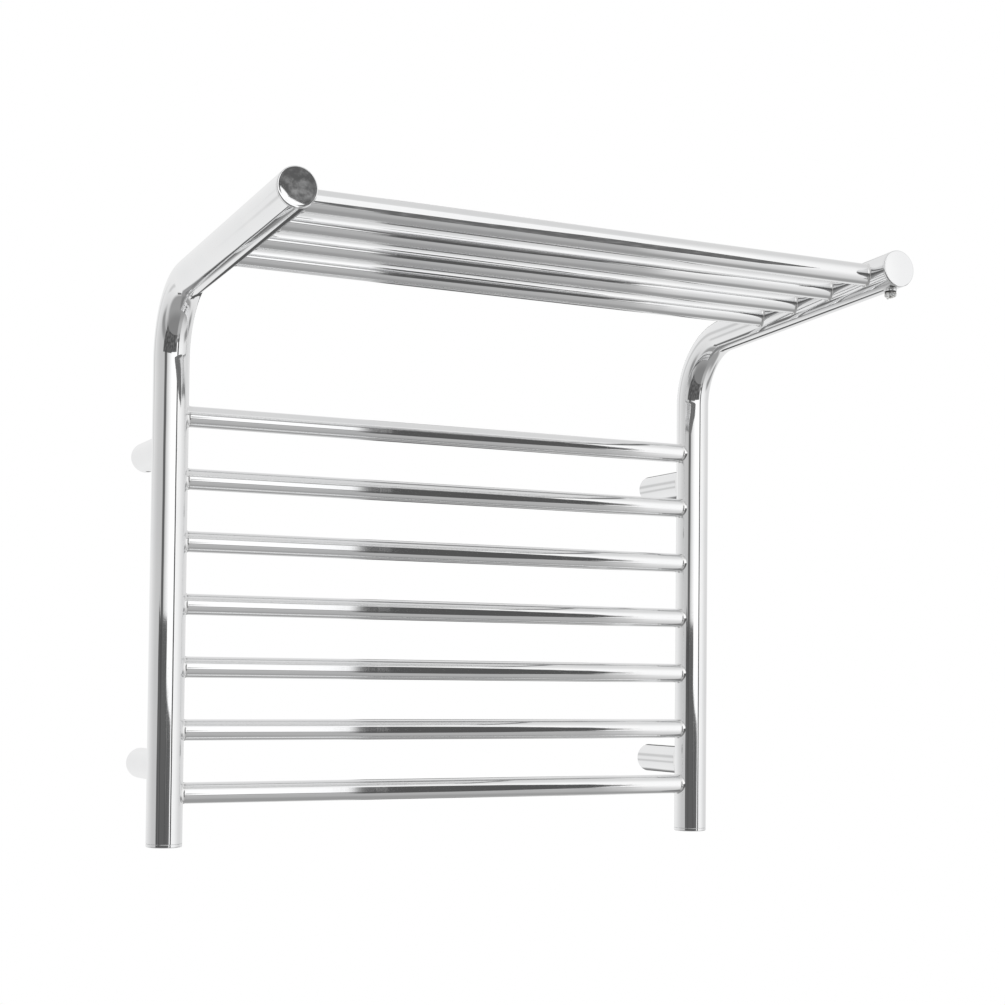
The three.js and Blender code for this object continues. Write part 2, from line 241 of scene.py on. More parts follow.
def new_finish(name):
    """A material with its node tree, shader and the piece's FLOW vector."""
    material = bpy.data.materials.new(name)
    material.use_nodes = True
    tree = material.node_tree
    shader = tree.nodes["Principled BSDF"]
    flow = add_node(tree, "Attribute", {"attribute_name": FLOW}).outputs["Vector"]
    return material, tree, shader, flow


def polished_steel_finish():
    """Mirror-polished steel: buffing lines round the tube, faint haze, and heat tint at the welds."""
    material, tree, shader, flow = new_finish("polished_steel")
    weld = Value(tree, add_node(tree, "Attribute", {"attribute_name": WELD}).outputs["Fac"])
    lines = noise(tree, stretched(tree, flow, (60, 60, 5200)), 1.0, 3.0)
    haze = noise(tree, flow, 42.0, 5.0, 0.6)
    cloud = noise(tree, flow, 9.0, 2.0)
    wave = noise(tree, stretched(tree, flow, (38, 38, 16)), 1.0, 1.0)
    specks = noise(tree, stretched(tree, flow, (900, 900, 260)), 1.0, 2.0)
    hot = weld * noise(tree, flow, 260.0, 3.0)
    tint = cloud * 0.7 + haze * 0.3
    steel = colour_between(tree, tint.rise(0.3, 0.7), (0.905, 0.910, 0.918), (0.945, 0.945, 0.945))
    straw = (0.78, 0.765, 0.74)
    connect(tree, shader.inputs["Base Color"], colour_between(tree, hot * 0.35, steel, straw))
    shader.inputs["Metallic"].default_value = 1.0
    rough = 0.028 + lines.rise(0.35, 0.75) * 0.03 + haze.rise(0.5, 0.8) * 0.03 + hot * 0.12
    connect(tree, shader.inputs["Roughness"], rough + specks.rise(0.68, 0.78) * 0.06)
    uneven = bumped(tree, wave, 0.22 * MM)
    connect(tree, shader.inputs["Normal"], bumped(tree, lines, 0.0006 * MM, normal=uneven))
    return material


def turned_metal_finish(name, dark, light, roughness, ring_depth):
    """Metal turned in a lathe: fine rings round the piece, and a patina between two colours."""
    material, tree, shader, flow = new_finish(name)
    rings = noise(tree, stretched(tree, flow, (40, 40, 9000)), 1.0, 4.0, 0.65)
    patina = noise(tree, flow, 320.0, 4.0, 0.6)
    connect(tree, shader.inputs["Base Color"], colour_between(tree, patina.rise(0.3, 0.72), dark, light))
    shader.inputs["Metallic"].default_value = 1.0
    connect(tree, shader.inputs["Roughness"], roughness + rings * 0.12 + patina.rise(0.45, 0.8) * 0.08)
    connect(tree, shader.inputs["Normal"], bumped(tree, rings, ring_depth))
    return material


def moulded_plastic_finish():
    """Grey moulded plastic with a fine spark-eroded texture and slightly shinier rubbed spots."""
    material, tree, shader, flow = new_finish("grey_plastic")
    grain = noise(tree, flow, 5200.0, 2.0)
    flowmarks = noise(tree, stretched(tree, flow, (220, 220, 90)), 1.0, 3.0)
    grey = colour_between(tree, flowmarks.rise(0.3, 0.7), (0.50, 0.51, 0.51), (0.60, 0.60, 0.59))
    connect(tree, shader.inputs["Base Color"], grey)
    connect(tree, shader.inputs["Roughness"], 0.36 + grain * 0.16 + flowmarks * 0.06)
    connect(tree, shader.inputs["Normal"], bumped(tree, grain, 0.01 * MM))
    return material


def seal_rubber_finish():
    """Dark grey seal rubber with a dusty bloom."""
    material, tree, shader, flow = new_finish("seal_rubber")
    bloom = noise(tree, flow, 700.0, 4.0, 0.6)
    pores = noise(tree, flow, 4200.0, 2.0)
    grey = colour_between(tree, bloom.rise(0.4, 0.75), (0.030, 0.030, 0.031), (0.085, 0.084, 0.082))
    connect(tree, shader.inputs["Base Color"], grey)
    connect(tree, shader.inputs["Roughness"], 0.6 + bloom * 0.25)
    connect(tree, shader.inputs["Normal"], bumped(tree, pores, 0.01 * MM))
    return material


FINISHES = {
    "polished_steel": polished_steel_finish(),
    "satin_steel": turned_metal_finish(
        "satin_steel", (0.60, 0.61, 0.62), (0.72, 0.73, 0.74), roughness=0.2, ring_depth=0.004 * MM
    ),
    "plated_brass": turned_metal_finish(
        "plated_brass", (0.66, 0.65, 0.62), (0.78, 0.77, 0.75), roughness=0.1, ring_depth=0.002 * MM
    ),
    "dark_steel": turned_metal_finish(
        "dark_steel", (0.10, 0.10, 0.105), (0.20, 0.20, 0.205), roughness=0.32, ring_depth=0.004 * MM
    ),
    "grey_plastic": moulded_plastic_finish(),
    "seal_rubber": seal_rubber_finish(),
}


# ---------------------------------------------------------------- rings and skins


def softened(corners, closed=False):
    """Rounds a profile's corners. A corner is (along, radius, edge), and the edge may be 0.

    Points on both sides of each rounding keep the flat stretches beside it flat in shading.
    """
    points = []
    last = len(corners) - 1
    for index, (along, radius, edge) in enumerate(corners):
        corner = Vector((along, radius))
        if edge == 0 or (not closed and index in (0, last)):
            points.append(corner)
            continue
        before = Vector(corners[index - 1][:2]) - corner
        after = Vector(corners[(index + 1) % len(corners)][:2]) - corner
        before.normalize()
        after.normalize()
        half = before.angle(after) / 2
        reach = edge / math.tan(half)
        centre = corner + (before + after).normalized() * edge / math.sin(half)
        first = corner + before * reach - centre
        second = corner + after * reach - centre
        sweep = math.pi - 2 * half
        hold = 0.35 * edge
        points.append(corner + before * (reach + hold))
        for step in range(EDGE_STEPS + 1):
            share = step / EDGE_STEPS
            arc = first * math.sin((1 - share) * sweep) + second * math.sin(share * sweep)
            points.append(centre + arc / math.sin(sweep))
        points.append(corner + after * (reach + hold))
    return [(point.x, point.y) for point in points]


def round_ring(place, radius, along, sides, shape=None):
    """A ring of (point, flow, weld), or one point where the radius is 0.

    place(radius, turn, along) gives a point in space. shape(turn) scales the ring's radius, for a ring
    that isn't round.
    """
    if radius == 0:
        return [(place(0, 0, along), Vector((0, 0, along)), 0.0)]
    ring = []
    for side in range(sides):
        turn = 2 * math.pi * side / sides
        scale = shape(turn) if shape else 1
        flow = Vector((radius * math.cos(turn), radius * math.sin(turn), along + radius))
        ring.append((place(radius * scale, turn, along), flow, 0.0))
    return ring


def skin(name, rings, closed):
    """One closed mesh object from rings. A closed skin joins its last ring to its first."""
    work = bmesh.new()
    flow_layer = work.verts.layers.float_vector.new(FLOW)
    weld_layer = work.verts.layers.float.new(WELD)
    loops = []
    for ring in rings:
        loop = []
        for point, flow, weld in ring:
            vertex = work.verts.new(point)
            vertex[flow_layer] = flow
            vertex[weld_layer] = weld
            loop.append(vertex)
        loops.append(loop)
    pairs = list(zip(loops, loops[1:]))
    if closed:
        pairs.append((loops[-1], loops[0]))
    for near, far in pairs:
        sides = max(len(near), len(far))
        for side in range(sides):
            after = (side + 1) % sides
            corners = [near[side % len(near)], near[after % len(near)]]
            corners += [far[after % len(far)], far[side % len(far)]]
            # Where a ring is one point, the face is a triangle.
            work.faces.new(list(dict.fromkeys(corners)))
    return finished(name, work)


def finished(name, work):
    """Turns a bmesh into an object with outward faces, smooth except at real corners."""
    bmesh.ops.recalc_face_normals(work, faces=work.faces)
    mesh = bpy.data.meshes.new(name)
    work.to_mesh(mesh)
    work.free()
    mesh.shade_smooth()
    mesh.set_sharp_from_angle(angle=SHARP_ANGLE)
    piece = bpy.data.objects.new(name, mesh)
    bpy.context.scene.collection.objects.link(piece)
    return piece


def line_place(origin, direction, beside):
    """A place() for turned pieces: along a straight axis."""
    across = direction.cross(beside)

    def place(radius, turn, along):
        offset = across * math.cos(turn) + beside * math.sin(turn)
        return origin + direction * along + offset * radius

    return place


def turned_rings(place, corners, sides=SMALL_SIDES, closed=False):
    """Rings of a turned surface: its profile's corners are (along, radius, edge)."""
    return [round_ring(place, radius, along, sides) for along, radius in softened(corners, closed)]


def rod(start, end, radius):
    """Corners of a plain solid rod, used to cut."""
    return [(start, 0, 0), (start, radius, 0), (end, radius, 0), (end, 0, 0)]


def pipe(start, end, outer, inner, outer_edge, inner_edge):
    """Corners of a plain hollow piece."""
    outside = [(start, outer, outer_edge), (end, outer, outer_edge)]
    return outside + [(end, inner, inner_edge), (start, inner, inner_edge)]


def turned(name, place, corners, sides=SMALL_SIDES, closed=False):
    """A turned piece."""
    return skin(name, turned_rings(place, corners, sides, closed), closed)


def external_thread(place, radius, depth, pitch, start, end, steps_per_turn):
    """Rings of a right-hand external thread from start to end."""
    rings = []
    for row in range(round((end - start) / pitch * steps_per_turn) + 1):
        along = start + row * pitch / steps_per_turn

        def ridge(turn, along=along):
            phase = (along / pitch - turn / (2 * math.pi)) % 1
            return 1 - depth / radius * abs(2 * phase - 1)

        rings.append(round_ring(place, radius, along, SMALL_SIDES, shape=ridge))
    return rings


def combined(piece, other, operation):
    """Joins or cuts a piece with another object, which is used up."""
    modifier = piece.modifiers.new("combine", "BOOLEAN")
    modifier.object = other
    modifier.operation = operation
    modifier.solver = "MANIFOLD"
    depsgraph = bpy.context.evaluated_depsgraph_get()
    mesh = bpy.data.meshes.new_from_object(piece.evaluated_get(depsgraph))
    piece.modifiers.clear()
    piece.data = mesh
    bpy.data.objects.remove(other)


def line_flow(origin, direction, beside, flow_radius):
    """A function from a point of a turned piece to its FLOW."""
    across = direction.cross(beside)

    def flow_at(point):
        offset = point - origin
        radial = Vector((offset.dot(across), offset.dot(beside)))
        around = radial.normalized() * flow_radius
        return around.x, around.y, offset.dot(direction) + radial.length

    return flow_at


def flow_again(piece, flow_at):
    """Sets FLOW and the sharp edges of a piece whose mesh was cut or joined."""
    mesh = piece.data
    flow = mesh.attributes.get(FLOW) or mesh.attributes.new(FLOW, "FLOAT_VECTOR", "POINT")
    for vertex, item in zip(mesh.vertices, flow.data):
        item.vector = flow_at(vertex.co)
    mesh.set_sharp_from_angle(angle=SHARP_ANGLE)


def true_round(piece, offset_at, radius):
    """Gives the corners on a tube the tube's own normals, where a cut left uneven faces.

    offset_at(point) is the point's offset from the tube's centre line.
    """
    mesh = piece.data
    normals = [Vector(corner.vector) for corner in mesh.corner_normals]
    for polygon in mesh.polygons:
        radial = offset_at(polygon.center)
        if abs(radial.length - radius) > 0.05 * MM or polygon.normal.dot(radial) < 0.97 * radial.length:
            continue
        for loop in polygon.loop_indices:
            outward = offset_at(mesh.vertices[mesh.loops[loop].vertex_index].co)
            if abs(outward.length - radius) < 0.02 * MM:
                normals[loop] = outward.normalized()
    mesh.normals_split_custom_set(normals)


def dress(piece, slot, body="rack"):
    """Gives a piece its finish and its place in the frame. It stands for the CAD node of its name."""
    piece.data.materials.clear()
    piece.data.materials.append(FINISHES[slot])
    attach(piece, body)
    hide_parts(piece.name.removesuffix("_skin"))


# ---------------------------------------------------------------- frame tubes


def tube_place(side):
    """A place() along a frame tube: up the upright, round the bend and out along the arm."""
    x = side * UPRIGHT_X
    bend_z = BOTTOM_Z + UPRIGHT_LENGTH

    def place(radius, turn, along):
        past = along - UPRIGHT_LENGTH
        angle = min(max(past / BEND_RADIUS, 0), BEND_TURN)
        tangent = Vector((0, -math.sin(angle), math.cos(angle)))
        outward = Vector((0, math.cos(angle), math.sin(angle)))
        centre = Vector((x, UPRIGHT_Y - BEND_RADIUS, bend_z)) + outward * BEND_RADIUS
        straight = past if past < 0 else max(past - BEND_LENGTH, 0)
        offset = AXIS_X * math.cos(turn) + outward * math.sin(turn)
        return centre + tangent * straight + offset * radius

    return place


def tube_offset(side):
    """A function from a point to its offset from a frame tube's centre line.

    It also gives the direction away from the bend's centre there, and how far along the tube that is.
    """
    bend_centre = Vector((side * UPRIGHT_X, UPRIGHT_Y - BEND_RADIUS, BOTTOM_Z + UPRIGHT_LENGTH))

    def offset_at(point):
        reach = point - bend_centre
        angle = min(max(math.atan2(reach.z, reach.y), 0), BEND_TURN)
        tangent = Vector((0, -math.sin(angle), math.cos(angle)))
        outward = Vector((0, math.cos(angle), math.sin(angle)))
        straight = reach.dot(tangent)
        offset = reach - outward * BEND_RADIUS - tangent * straight
        return offset, outward, UPRIGHT_LENGTH + BEND_RADIUS * angle + straight

    return offset_at


def drilled(tube, side):
    """Drills the ports into the rungs, the shelf bars and, on the right, the bleed valve."""
    ports = []
    for branch in RUNGS + SHELF_BARS:
        centre = node_centre(branch)
        origin = Vector((side * UPRIGHT_X, centre.y, centre.z))
        ports.append((line_place(origin, AXIS_X * -side, AXIS_Z), RUNG_PORT))
    if side > 0:
        ports.append((valve_place(), VALVE_PORT))
    through = TUBE_RADIUS + MM
    for place, radius in ports:
        combined(tube, turned("port", place, rod(0, through, radius)), "DIFFERENCE")

    offset_at = tube_offset(side)

    def flow_at(point):
        offset, outward, along = offset_at(point)
        return offset.x, offset.dot(outward), along + offset.length

    flow_again(tube, flow_at)
    true_round(tube, lambda point: offset_at(point)[0], TUBE_RADIUS)
    return tube


def frame_tube(name, side):
    """Hollow bent tube, its two ends just clear of the bush and the cap."""
    start = BUSH_FLANGE + SEAM
    end = TUBE_LENGTH - CAP_FLANGE - SEAM
    edge = 0.25 * MM
    bore = TUBE_RADIUS - TUBE_WALL
    bend_stations = [UPRIGHT_LENGTH + BEND_LENGTH * step / BEND_STEPS for step in range(BEND_STEPS + 1)]
    profile = softened(pipe(start, end, TUBE_RADIUS, bore, edge, edge), closed=True)
    place = tube_place(side)
    rings = []
    for index, (along, radius) in enumerate(profile):
        rings.append(round_ring(place, radius, along, TUBE_SIDES))
        after = profile[(index + 1) % len(profile)][0]
        if abs(after - along) > BEND_LENGTH:
            for station in sorted(bend_stations, reverse=after < along):
                rings.append(round_ring(place, radius, station, TUBE_SIDES))
    return drilled(skin(name, rings, closed=True), side)


def port_bush(name, side):
    """Pipe bush under an upright, with an internal G1/2 pipe thread cut in it."""
    origin = Vector((side * UPRIGHT_X, UPRIGHT_Y, BOTTOM_Z))
    place = line_place(origin, AXIS_Z, AXIS_Y)
    spigot = TUBE_RADIUS - TUBE_WALL - SPIGOT_GAP
    crest = 9.32 * MM
    root = 10.48 * MM
    pitch = 1.814 * MM
    steps_per_turn = 8
    mouth = 0.9 * MM
    outside = [
        (0, root + mouth, 0),
        (0, TUBE_RADIUS, 0.9 * MM),
        (BUSH_FLANGE, TUBE_RADIUS, 0.25 * MM),
        (BUSH_FLANGE, spigot, 0),
        (BUSH_LENGTH, spigot, 0.4 * MM),
        (BUSH_LENGTH, crest + mouth, 0),
    ]
    rings = turned_rings(place, outside, TUBE_SIDES)
    rows = round(BUSH_LENGTH / pitch * steps_per_turn)
    for row in range(rows, -1, -1):
        along = BUSH_LENGTH * row / rows
        chamfer = max(mouth - min(along, BUSH_LENGTH - along), 0)

        def thread(turn, along=along, chamfer=chamfer):
            phase = (along / pitch + turn / (2 * math.pi)) % 1
            depth = min(max(1.25 - abs(2 * phase - 1) * 1.5, 0), 1)
            radius = crest + (root - crest) * depth
            return max(radius, root + chamfer - mouth * 0.4 if chamfer > 0 else 0) / crest

        rings.append(round_ring(place, crest, along, TUBE_SIDES, shape=thread))
    return skin(name, rings, closed=True)


def arm_cap(name, side):
    """Disc that closes an arm, very slightly domed by its polishing, with a softly rounded rim."""
    corner = Vector((side * UPRIGHT_X, UPRIGHT_Y, CORNER_Z))
    face = corner + ARM_DIRECTION * ARM_LENGTH
    place = line_place(face, -ARM_DIRECTION, AXIS_X)
    spigot = TUBE_RADIUS - TUBE_WALL - SPIGOT_GAP
    rim = 1.1 * MM
    flat = TUBE_RADIUS - rim
    dome_steps = 12
    dome = [(CAP_DOME * (step / dome_steps) ** 2, flat * step / dome_steps) for step in range(dome_steps)]
    # The rim starts a hair in front of the dome's last ring, which keeps their shading apart.
    outside = [
        (CAP_DOME * 0.84, dome[-1][1], 0),
        (CAP_DOME, TUBE_RADIUS, rim * 0.9),
        (CAP_FLANGE, TUBE_RADIUS, 0.2 * MM),
        (CAP_FLANGE, spigot, 0),
        (CAP_LENGTH, spigot, 0.4 * MM),
        (CAP_LENGTH, 0, 0),
    ]
    rings = [round_ring(place, radius, along, TUBE_SIDES) for along, radius in dome]
    rings += turned_rings(place, outside, TUBE_SIDES)
    return skin(name, rings, closed=False)


# ---------------------------------------------------------------- tubes that join a frame tube


def saddle_ring(place, radius, height, flow_radius, weld, far, sides):
    """A ring that follows the frame tube's surface, at a height above it.

    With far given, it is at the frame tube on the other side, that far away.
    """
    ring = []
    for side in range(sides):
        turn = 2 * math.pi * side / sides
        out = math.sqrt((TUBE_RADIUS + height) ** 2 - (radius * math.cos(turn)) ** 2)
        along = out if far is None else far - out
        flow = Vector((flow_radius * math.cos(turn), flow_radius * math.sin(turn), along))
        ring.append((place(radius, turn, along), flow, weld))
    return ring


def branch_rings(place, radius, weld_size, far=None, sides=RUNG_SIDES):
    """Rings of a branch's welded end, from inside the frame tube's wall out to the plain tube."""
    weld_width, weld_reach = weld_size

    def ring(weld_radius, height, weld):
        return saddle_ring(place, weld_radius, height, radius, weld, far, sides)

    rings = [ring(radius + weld_width + WELD_SINK, -WELD_SINK, 1.0)]
    for step in range(WELD_STEPS, -1, -1):
        angle = math.pi / 2 * step / WELD_STEPS
        weld_radius = radius + weld_width * (1 - math.cos(angle))
        rings.append(ring(weld_radius, weld_reach * (1 - math.sin(angle)), 1.0))
    # The heat tint fades out along the plain tube.
    rings.append(ring(radius, 1.1 * weld_reach, 0.6))
    rings.append(ring(radius, 1.6 * weld_reach, 0.0))
    return rings


def saddle_bore(place, bore, far=None, sides=RUNG_SIDES):
    """The bore's ring at a welded end, inside the frame tube's wall."""
    return saddle_ring(place, bore, -WELD_SINK, bore, 1.0, far, sides)


def cross_tube(name, tube_direction, weld_size):
    """Tube along X between the two frame tubes, with polished welds at both ends."""
    centre = node_centre(name)
    origin = Vector((-UPRIGHT_X, centre.y, centre.z))
    place = line_place(origin, AXIS_X, tube_direction)
    far = 2 * UPRIGHT_X
    bore = RUNG_RADIUS - RUNG_WALL
    rings = branch_rings(place, RUNG_RADIUS, weld_size)
    rings += reversed(branch_rings(place, RUNG_RADIUS, weld_size, far))
    rings.append(saddle_bore(place, bore, far))
    rings.append(saddle_bore(place, bore))
    return skin(name + "_skin", rings, closed=True)


def wall_sleeve(name):
    """Standoff sleeve from an upright to just short of the wall, with its screw hole underneath."""
    centre = node_centre(name)
    origin = Vector((centre.x, UPRIGHT_Y, centre.z))
    place = line_place(origin, AXIS_Y, AXIS_Z)
    bore = SLEEVE_RADIUS - SLEEVE_WALL
    end = -UPRIGHT_Y - SLEEVE_WALL_GAP
    screw_along = -UPRIGHT_Y - GROOVE_CENTRE
    mouth = end - 3 * MM
    rings = branch_rings(place, SLEEVE_RADIUS, SLEEVE_WELD)
    # Rings close together by the screw hole keep the cut's faces small.
    for step in range(-4, 5):
        along = screw_along + step * 1.2 * MM
        rings.append(round_ring(place, SLEEVE_RADIUS, along, RUNG_SIDES))
    edge = 0.5 * MM
    wall = [(mouth, SLEEVE_RADIUS, 0), (end, SLEEVE_RADIUS, edge), (end, bore, edge), (mouth, bore, 0)]
    rings += turned_rings(place, wall, RUNG_SIDES)
    rings.append(saddle_bore(place, bore))
    sleeve = skin(name + "_skin", rings, closed=True)

    hole_place = line_place(origin + AXIS_Y * screw_along, -AXIS_Z, AXIS_X)
    hole_radius = 2.6 * MM
    inside = bore - 2 * MM
    outside = SLEEVE_RADIUS + 0.7 * MM
    chamfer = MM
    funnel = [
        (inside, 0, 0),
        (inside, hole_radius, 0),
        (outside - chamfer, hole_radius, 0),
        (outside, hole_radius + chamfer, 0),
        (outside, 0, 0),
    ]
    combined(sleeve, turned("hole", hole_place, funnel), "DIFFERENCE")
    flow_again(sleeve, line_flow(origin, AXIS_Y, AXIS_Z, SLEEVE_RADIUS))

    def offset_at(point):
        reach = point - origin
        return reach - AXIS_Y * reach.dot(AXIS_Y)

    true_round(sleeve, offset_at, SLEEVE_RADIUS)
    return sleeve


def wall_socket(name):
    """Socket screwed to the wall: turned, grooved for the grub screw, with a countersunk bore."""
    low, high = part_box(name)
    centre = (low + high) / 2
    place = line_place(Vector((centre.x, high.y, centre.z)), -AXIS_Y, AXIS_Z)
    radius = (high.x - low.x) / 2
    length = high.y - low.y
    groove_radius = 9 * MM
    groove_start = GROOVE_CENTRE - 3.5 * MM
    groove_end = GROOVE_CENTRE + 3.5 * MM
    bore = 2.75 * MM
    countersink_radius = 5.6 * MM
    countersink_depth = 3 * MM
    corners = [
        (0, radius, 0.3 * MM),
        (groove_start, radius, 0.2 * MM),
        (groove_start, groove_radius, 0.3 * MM),
        (groove_end, groove_radius, 0.3 * MM),
        (groove_end, radius, 0.2 * MM),
        (length, radius, 0.6 * MM),
        (length, countersink_radius, 0.1 * MM),
        (length - countersink_depth, bore, 0.1 * MM),
        (0, bore, 0.2 * MM),
    ]
    return turned(name + "_skin", place, corners, closed=True)


def grub_screw(name):
    """Grub screw with a pointed tip, threaded body and a hexagon socket in its outer end."""
    low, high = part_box(name)
    centre = (low + high) / 2
    place = line_place(Vector((centre.x, centre.y, high.z)), -AXIS_Z, AXIS_X)
    length = high.z - low.z
    radius = 2.5 * MM
    thread_start = 0.9 * MM
    thread_end = length - 0.4 * MM
    key = 1.25 * MM
    key_end = length - 1.8 * MM

    def hexagon(turn):
        return 1 / math.cos((turn % (math.pi / 3)) - math.pi / 6)

    rings = turned_rings(place, [(0, 0, 0), (0, 1.0 * MM, 0), (0.15 * MM, 1.4 * MM, 0)])
    rings += external_thread(
        place, radius, 0.3 * MM, pitch=0.8 * MM, start=thread_start, end=thread_end, steps_per_turn=8
    )
    rings += turned_rings(place, [(length, 2.1 * MM, 0), (length, 1.75 * MM, 0)])
    rings.append(round_ring(place, key + 0.08 * MM, length, SMALL_SIDES, hexagon))
    rings.append(round_ring(place, key, length - 0.1 * MM, SMALL_SIDES, hexagon))
    rings.append(round_ring(place, key, key_end, SMALL_SIDES, hexagon))
    rings.append(round_ring(place, 0, key_end - 0.5 * MM, SMALL_SIDES))
    return skin(name + "_skin", rings, closed=False)


# ---------------------------------------------------------------- bleed valve

# Its parts' places run from the arm tube's centre line down the joint's axis.
SURFACE = TUBE_RADIUS


def valve_place():
    """A place() for the valve's parts."""
    return line_place(VALVE_ORIGIN, VALVE_DOWN, ARM_DIRECTION)


def bleed_boss():
    """Boss under the arm, with a small polished weld round it."""
    place = valve_place()
    radius = 5.5 * MM
    bore = 3.6 * MM
    edge = 0.2 * MM
    face = SURFACE + 1.6 * MM
    weld_end = face - 0.6 * MM
    wall = [(weld_end, radius, 0), (face, radius, edge), (face, bore, edge), (weld_end, bore, 0)]
    # The boss is too short for the two plain rings above its weld.
    rings = branch_rings(place, radius, BOSS_WELD, sides=SMALL_SIDES)[:-2]
    rings += turned_rings(place, wall)
    rings.append(saddle_bore(place, bore, sides=SMALL_SIDES))
    return skin("bleed_boss_skin", rings, closed=True)


def bleed_seal():
    """Flat rubber ring, squeezed so that its outer side bulges."""
    top = SURFACE + 1.62 * MM
    bottom = SURFACE + 2.78 * MM
    outer = 4.9 * MM
    inner = 3.5 * MM
    corners = pipe(top, bottom, outer, inner, outer_edge=0.45 * MM, inner_edge=0.1 * MM)
    return turned("bleed_seal_skin", valve_place(), corners, closed=True)


def bleed_valve_body():
    """Plated valve: shank, flange with chamfered edges, neck and the lip that holds the spout ring."""
    flange = 5.2 * MM
    neck = 3.2 * MM
    lip = 3.7 * MM
    shank = 3.3 * MM
    bore = 1.9 * MM
    flange_top = SURFACE + 2.8 * MM
    flange_bottom = SURFACE + 3.4 * MM
    lip_top = SURFACE + 5.9 * MM
    lip_bottom = SURFACE + 6.4 * MM
    shank_end = SURFACE - 5 * MM
    corners = [
        (shank_end, shank, 0.3 * MM),
        (flange_top, shank, 0.1 * MM),
        (flange_top, flange, 0.15 * MM),
        (flange_bottom, flange, 0.2 * MM),
        (flange_bottom, neck, 0.08 * MM),
        (lip_top, neck, 0.08 * MM),
        (lip_top, lip, 0.1 * MM),
        (lip_bottom, lip, 0.18 * MM),
        (lip_bottom, bore, 0.1 * MM),
        (shank_end, bore, 0.1 * MM),
    ]
    return turned("bleed_valve_body_skin", valve_place(), corners, closed=True)


def bleed_spout():
    """Plastic spout ring with grip flutes, and its drain nozzle."""
    place = valve_place()
    top = SURFACE + 3.6 * MM
    bottom = SURFACE + 5.7 * MM
    outer = 5 * MM
    inner = 3.32 * MM
    flutes = 16
    grip_depth = 0.16 * MM
    edge = 0.3 * MM
    profile = softened(pipe(top, bottom, outer, inner, edge, inner_edge=0.1 * MM), closed=True)

    def fluted(turn):
        return 1 - grip_depth / outer * (0.5 - 0.5 * math.cos(flutes * turn)) ** 2

    rings = []
    for along, radius in profile:
        shape = fluted if radius > outer - 1.01 * edge else None
        rings.append(round_ring(place, radius, along, 2 * SMALL_SIDES, shape))
    spout = skin("bleed_spout_skin", rings, closed=True)

    tip = SURFACE + 9 * MM
    beyond = tip + MM
    nozzle_turn = math.radians(206)
    nozzle_offset = 5.2 * MM
    nozzle_radius = 1.2 * MM
    beside = AXIS_X * math.cos(nozzle_turn) - ARM_DIRECTION * math.sin(nozzle_turn)
    across = VALVE_DOWN.cross(ARM_DIRECTION)
    nozzle_place = line_place(VALVE_ORIGIN + beside * nozzle_offset, VALVE_DOWN, across)
    tip_radius = 0.92 * nozzle_radius
    wall = [(top, 0, 0), (top, nozzle_radius, edge), (tip, tip_radius, 0.25 * MM), (tip, 0, 0)]
    combined(spout, turned("nozzle", nozzle_place, wall, sides=32), "UNION")
    drain = rod(bottom - 0.8 * MM, beyond, 0.6 * MM)
    combined(spout, turned("drain", nozzle_place, drain, sides=24), "DIFFERENCE")
    # Below the ring, the nozzle stays clear of the valve's lip.
    lip_room = rod(bottom - 0.001 * MM, beyond, 4 * MM)
    combined(spout, turned("lip_room", place, lip_room, sides=64), "DIFFERENCE")
    flow_again(spout, line_flow(VALVE_ORIGIN, VALVE_DOWN, ARM_DIRECTION, outer))
    return spout


def bleed_key_screw():
    """Key screw: threaded where it turns in the valve, slotted at its outer end."""
    place = valve_place()
    radius = 1.75 * MM
    core = 1.55 * MM
    start = SURFACE - 3.5 * MM
    thread_start = start + 0.6 * MM
    thread_end = SURFACE + 4.2 * MM
    end = SURFACE + 7.1 * MM
    tip = [(start, 0, 0), (start, 0.9 * MM, 0), (start + 0.4 * MM, core, 0)]
    head = [(thread_end, core, 0), (thread_end + 0.3 * MM, radius, 0.1 * MM), (end, radius, 0.25 * MM)]
    head.append((end, 0, 0))
    rings = turned_rings(place, tip)
    rings += external_thread(
        place, radius, radius - core, pitch=0.6 * MM, start=thread_start, end=thread_end, steps_per_turn=6
    )
    rings += turned_rings(place, head)
    screw = skin("bleed_key_screw_skin", rings, closed=False)

    slot_width = 0.6 * MM
    slot_depth = 0.9 * MM
    work = bmesh.new()
    bmesh.ops.create_cube(work, size=1.0)
    turn = Matrix((-AXIS_X, ARM_DIRECTION, VALVE_DOWN)).transposed().to_4x4()
    size = Matrix.Diagonal((8 * radius, slot_width, 2 * slot_depth, 1))
    work.transform(Matrix.Translation(VALVE_ORIGIN + VALVE_DOWN * end) @ turn @ size)
    combined(screw, finished("slot", work), "DIFFERENCE")
    flow_again(screw, line_flow(VALVE_ORIGIN, VALVE_DOWN, ARM_DIRECTION, radius))
    return screw


# ---------------------------------------------------------------- the rack

for side_name, side in (("left", -1), ("right", 1)):
    dress(frame_tube(side_name + "_frame_tube_skin", side), "polished_steel")
    dress(port_bush(side_name + "_port_bush_skin", side), "polished_steel")
    dress(arm_cap(side_name + "_arm_cap_skin", side), "polished_steel")
    for level in ("upper", "lower"):
        label = f"{level}_{side_name}"
        dress(wall_sleeve(label + "_wall_sleeve"), "polished_steel")
        dress(wall_socket(label + "_wall_socket"), "satin_steel")
        dress(grub_screw(label + "_grub_screw"), "dark_steel")

for rung in RUNGS:
    dress(cross_tube(rung, AXIS_Z, RUNG_WELD), "polished_steel")
for shelf_bar in SHELF_BARS:
    dress(cross_tube(shelf_bar, ARM_DIRECTION, BAR_WELD), "polished_steel")

dress(bleed_boss(), "polished_steel")
dress(bleed_seal(), "seal_rubber")
dress(bleed_valve_body(), "plated_brass")
dress(bleed_spout(), "grey_plastic", body="bleed_spout")
dress(bleed_key_screw(), "plated_brass", body="bleed_key")

# ---------------------------------------------------------------- studio

